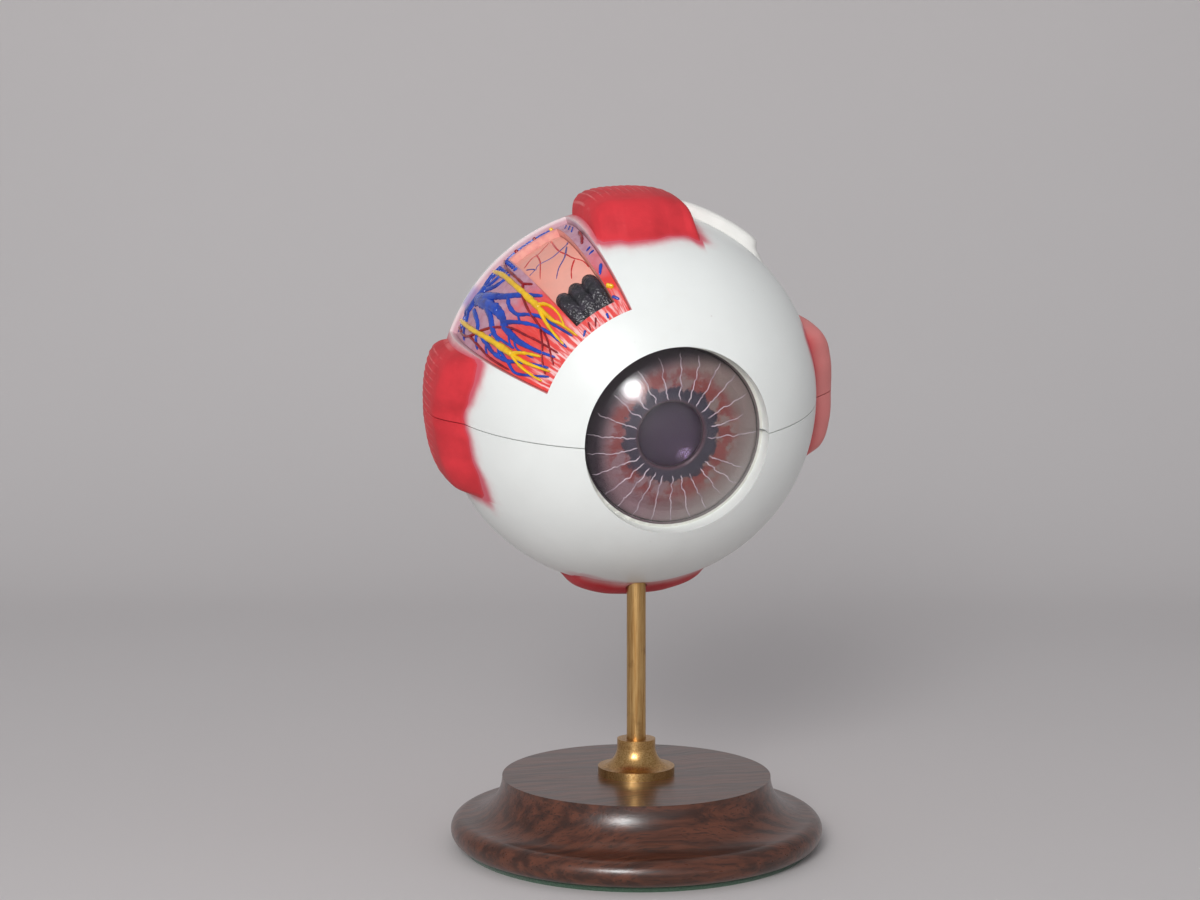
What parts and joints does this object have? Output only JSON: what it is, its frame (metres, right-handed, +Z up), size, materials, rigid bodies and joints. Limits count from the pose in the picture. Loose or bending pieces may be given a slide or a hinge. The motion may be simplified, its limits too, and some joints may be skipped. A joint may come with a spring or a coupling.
{
  "type": "eye anatomy model",
  "caption": "Enlarged take-apart model eye on a brass rod and turned base: split white ball with a cut window, red muscle stumps, clear cornea, iris, lens and vitreous body",
  "frame": {"origin": "centre of the felt underside of the base, on the axis of the brass rod, where the model stands on the table", "axes": "+Z up along the rod; the eye looks towards -Y and 13 degrees down; +X is to the right of a viewer who faces the eye"},
  "size_m": [0.1316, 0.1408, 0.2067],
  "materials": {
    "dark_wood": "dark stained turned hardwood, satin lacquer",
    "green_felt": "short felt",
    "steel": "plain turned steel",
    "brass": "aged drawn brass",
    "white_paint": "satin white paint on cast plastic",
    "lilac_paint": "satin lilac and red paint",
    "peach_paint": "satin peach paint with fine vessels",
    "dark_red_paint": "satin dark red paint",
    "red_paint": "satin red paint over fine grooves",
    "tendon_white": "satin off-white paint",
    "pale_yellow_paint": "satin pale yellow paint",
    "black_paint": "glossy black paint",
    "blue_paint": "glossy blue enamel",
    "yellow_paint": "glossy yellow enamel",
    "clear_plastic": "clear polished acrylic",
    "iris_paint": "grey-brown painted iris"
  },
  "bodies": {
    "stand": {"base": "dark_wood", "base_felt": "green_felt", "base_weight": "steel", "washer": "steel", "nut": "brass", "ferrule": "brass", "rod": "brass"},
    "eyeball": {"rod_socket": "brass", "sclera_lower": "white_paint", "choroid_lower": "lilac_paint", "retina_lower": "peach_paint", "ciliary_lower": "dark_red_paint", "medial_rectus_lower": "red_paint", "lateral_rectus_lower": "red_paint", "inferior_rectus": "red_paint", "inferior_oblique": "red_paint", "optic_nerve_lower": "pale_yellow_paint", "optic_sheath_lower": "tendon_white", "seam_pin_right": "brass", "seam_pin_left": "brass", "seam_pin_back": "brass"},
    "cap": {"sclera_upper": "white_paint", "choroid_upper": "lilac_paint", "retina_upper": "peach_paint", "ciliary_upper": "dark_red_paint", "medial_rectus_upper": "red_paint", "lateral_rectus_upper": "red_paint", "superior_rectus": "red_paint", "superior_oblique_tendon": "tendon_white", "optic_nerve_upper": "pale_yellow_paint", "optic_sheath_upper": "tendon_white", "pigment_pleats": "black_paint", "vortex_veins": "blue_paint", "ciliary_nerves": "yellow_paint", "ciliary_arteries": "dark_red_paint"},
    "front_unit": {"cornea": "clear_plastic", "iris": "iris_paint"},
    "vitreous": {"vitreous_body": "clear_plastic"},
    "lens": {"lens": "clear_plastic"}
  },
  "joints": [
    {"name": "eye_swivel", "type": "hinge", "parent": "stand", "child": "eyeball", "pos_m": [0, 0, 0.09], "axis": [0, 0, 1], "continuous": true},
    {"name": "cap_lift", "type": "slide", "parent": "eyeball", "child": "cap", "axis": [-0.0654, -0.2287, 0.9713], "range_m": [0, 0.09]},
    {"name": "vitreous_lift", "type": "slide", "parent": "eyeball", "child": "vitreous", "axis": [-0.0654, -0.2287, 0.9713], "range_m": [0, 0.045]},
    {"name": "front_pull", "type": "slide", "parent": "eyeball", "child": "front_unit", "axis": [0, -0.9734, -0.2292], "range_m": [0, 0.06]},
    {"name": "lens_pull", "type": "slide", "parent": "vitreous", "child": "lens", "axis": [0, -0.9734, -0.2292], "range_m": [0, 0.03]}
  ],
  "couplings": [
    {"joint": "vitreous_lift", "follows": "cap_lift", "ratio": 0.5},
    {"joint": "lens_pull", "follows": "front_pull", "ratio": 0.5}
  ]
}
